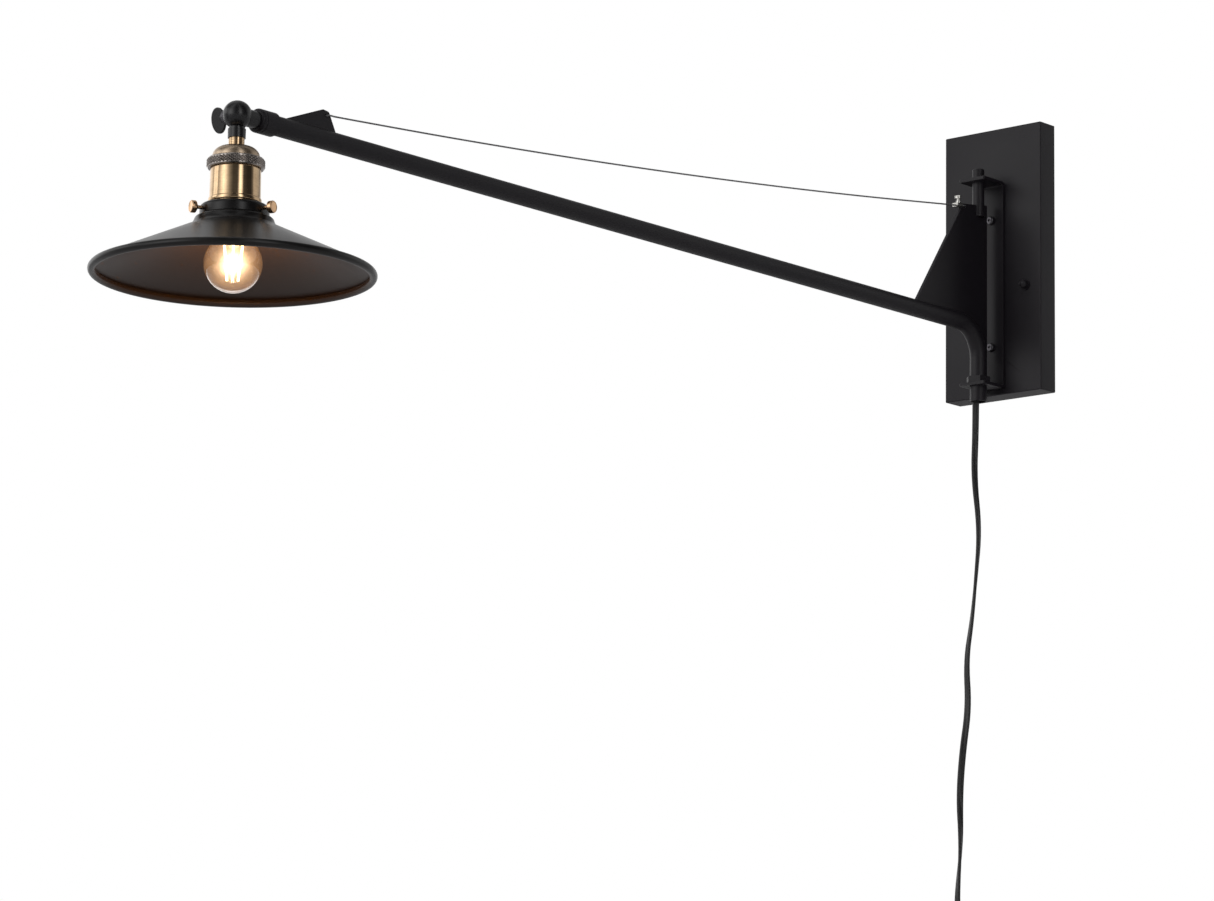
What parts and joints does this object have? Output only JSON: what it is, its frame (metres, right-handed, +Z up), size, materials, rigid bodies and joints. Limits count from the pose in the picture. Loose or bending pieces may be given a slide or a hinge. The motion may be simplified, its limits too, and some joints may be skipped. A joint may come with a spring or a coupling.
{
  "type": "swing arm wall sconce",
  "caption": "Plug-in wall lamp: a long level tube arm with a stay wire swings on a wall bracket and carries a tilting lampholder with a shallow cone shade and a globe bulb.",
  "frame": {"origin": "centre of the wall plate's back face, on the wall", "axes": "+Z up, +Y into the wall, so the arm at rest points along -Y; +X to the right of someone facing the wall"},
  "size_m": [0.22, 1.104, 0.886],
  "materials": {
    "black_paint": "satin black powder coat",
    "shade_paint": "satin black enamel",
    "zinc_steel": "zinc plated steel",
    "dark_screw": "black oxide steel",
    "wire_rope": "bare steel wire rope",
    "clamp_nickel": "nickel plated",
    "aged_brass": "brushed, lightly aged",
    "dark_bronze": "knurled, dark gunmetal bronze",
    "bright_brass": "turned brass",
    "phenolic": "moulded insulating body",
    "contact_metal": "pressed contact metal",
    "bulb_clear": "clear blown glass",
    "bulb_cap_metal": "nickel plated cap",
    "bulb_tip_glass": "black glass insulator",
    "filament_glow": "glowing filament coating",
    "lead_wire": "nickel wire",
    "cord_black": "satin black flexible sheath",
    "plug_black": "moulded black"
  },
  "bodies": {
    "wall_mount": {"back_plate": "black_paint", "mounting_plate": "zinc_steel", "canopy_studs": "zinc_steel", "cap_nuts": "black_paint", "pivot_bracket": "black_paint", "bracket_screws": "dark_screw", "bracket_nuts": "zinc_steel", "cord_lead": "cord_black", "cord_coil": "cord_black", "cord_tail": "cord_black", "cord_tie": "plug_black", "plug_body": "plug_black", "plug_blades": "contact_metal"},
    "swing_arm": {"arm_tube": "black_paint", "gusset_plate": "black_paint", "pivot_pin": "black_paint", "swing_nut": "black_paint", "fin_plate": "black_paint", "stay_wire": "wire_rope", "wire_ferrule": "clamp_nickel", "wire_clamp": "clamp_nickel", "clamp_screw": "clamp_nickel", "end_collar": "black_paint", "knuckle_arm_half": "black_paint", "arm_cable": "cord_black"},
    "lamp_head": {"knuckle_lamp_half": "black_paint", "wing_washer": "zinc_steel", "nipple": "bright_brass", "nipple_nut": "bright_brass", "socket_cap": "aged_brass", "socket_ring": "dark_bronze", "socket_shell": "aged_brass", "socket_core": "phenolic", "screw_shell": "contact_metal", "centre_contact": "contact_metal", "terminal_screws": "bright_brass", "head_cable": "cord_black", "shade_holder": "black_paint", "thumbscrews": "bright_brass", "shade": "shade_paint", "bulb_glass": "bulb_clear", "bulb_cap": "bulb_cap_metal", "bulb_tip": "bulb_tip_glass", "bulb_stem": "bulb_clear", "bulb_filaments": "filament_glow", "filament_leads": "lead_wire"},
    "tilt_screw": {"wing_screw": "black_paint"}
  },
  "joints": [
    {"name": "arm_swing", "type": "hinge", "parent": "wall_mount", "child": "swing_arm", "pos_m": [0, -0.044, -0.0636], "axis": [0, 0, 1], "range_deg": [-80, 80]},
    {"name": "head_tilt", "type": "hinge", "parent": "swing_arm", "child": "lamp_head", "pos_m": [0, -0.994, -0.0636], "axis": [1, 0, 0], "range_deg": [-90, 12]},
    {"name": "tilt_screw_turn", "type": "hinge", "parent": "lamp_head", "child": "tilt_screw", "pos_m": [0, -0.994, -0.0636], "axis": [1, 0, 0], "continuous": true}
  ]
}
